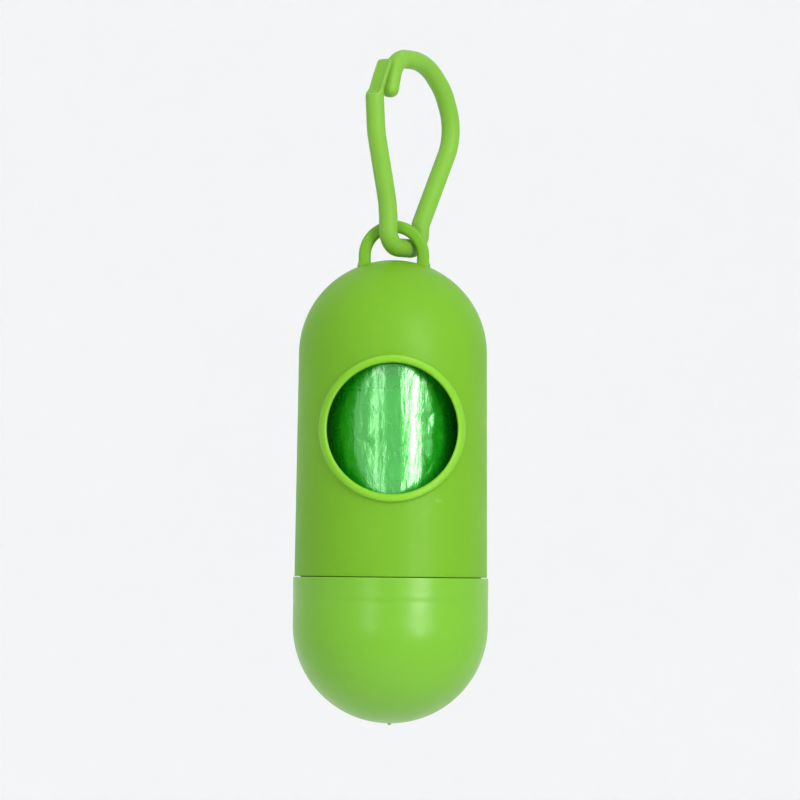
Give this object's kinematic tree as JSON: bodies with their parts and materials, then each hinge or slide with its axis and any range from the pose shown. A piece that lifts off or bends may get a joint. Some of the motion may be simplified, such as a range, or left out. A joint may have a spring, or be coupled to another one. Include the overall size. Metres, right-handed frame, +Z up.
{
  "type": "dog waste bag dispenser",
  "caption": "Capsule-shaped plastic dispenser that holds a roll of dog waste bags, with a round dispensing hole, a pull-off cap and a spring clip.",
  "frame": {"origin": "the seat inside the top of the clip's loop, where a lead or strap carries the dispenser", "axes": "+Z up along the capsule towards the clip, -Y out of the dispensing hole, +X to the right as the hole is faced"},
  "size_m": [0.04, 0.0406, 0.1384],
  "materials": {
    "clip": "satin polypropylene",
    "shell": "satin polypropylene, lightly textured",
    "cap": "satin polypropylene, slightly glossier than the shell",
    "film": "glossy thin polyethylene film, wound and creased",
    "core": "matt paperboard"
  },
  "bodies": {
    "clip": {"clip_frame": "clip"},
    "gate": {"clip_gate": "clip"},
    "shell": {"shell": "shell"},
    "core": {"core": "core"},
    "cap": {"cap": "cap"},
    "bags": {"bag_01": "film", "bag_02": "film", "bag_03": "film", "bag_04": "film", "bag_05": "film", "bag_06": "film", "bag_07": "film", "bag_08": "film", "bag_09": "film", "bag_10": "film", "bag_11": "film", "bag_12": "film", "bag_13": "film", "bag_14": "film", "bag_15": "film"}
  },
  "joints": [
    {"name": "gate_open", "type": "hinge", "parent": "clip", "child": "gate", "pos_m": [-0.00423, -0.00583, -0.0277], "axis": [0.809, -0.5878, 0], "range_deg": [0, 15], "stiffness_Nm_per_rad": 0.03},
    {"name": "clip_swing", "type": "hinge", "parent": "clip", "child": "shell", "pos_m": [-0.00157, -0.00216, -0.037], "axis": [0, 1, 0], "range_deg": [-25, 25]},
    {"name": "cap_pull", "type": "slide", "parent": "shell", "child": "core", "axis": [0, 0, -1], "range_m": [0, 0.085]},
    {"name": "cap_turn", "type": "hinge", "parent": "core", "child": "cap", "pos_m": [-0.00277, -0.00216, -0.1046], "axis": [0, 0, 1], "continuous": true},
    {"name": "roll_spin", "type": "hinge", "parent": "core", "child": "bags", "pos_m": [-0.00277, -0.00216, -0.0946], "axis": [0, 0, 1], "continuous": true}
  ]
}
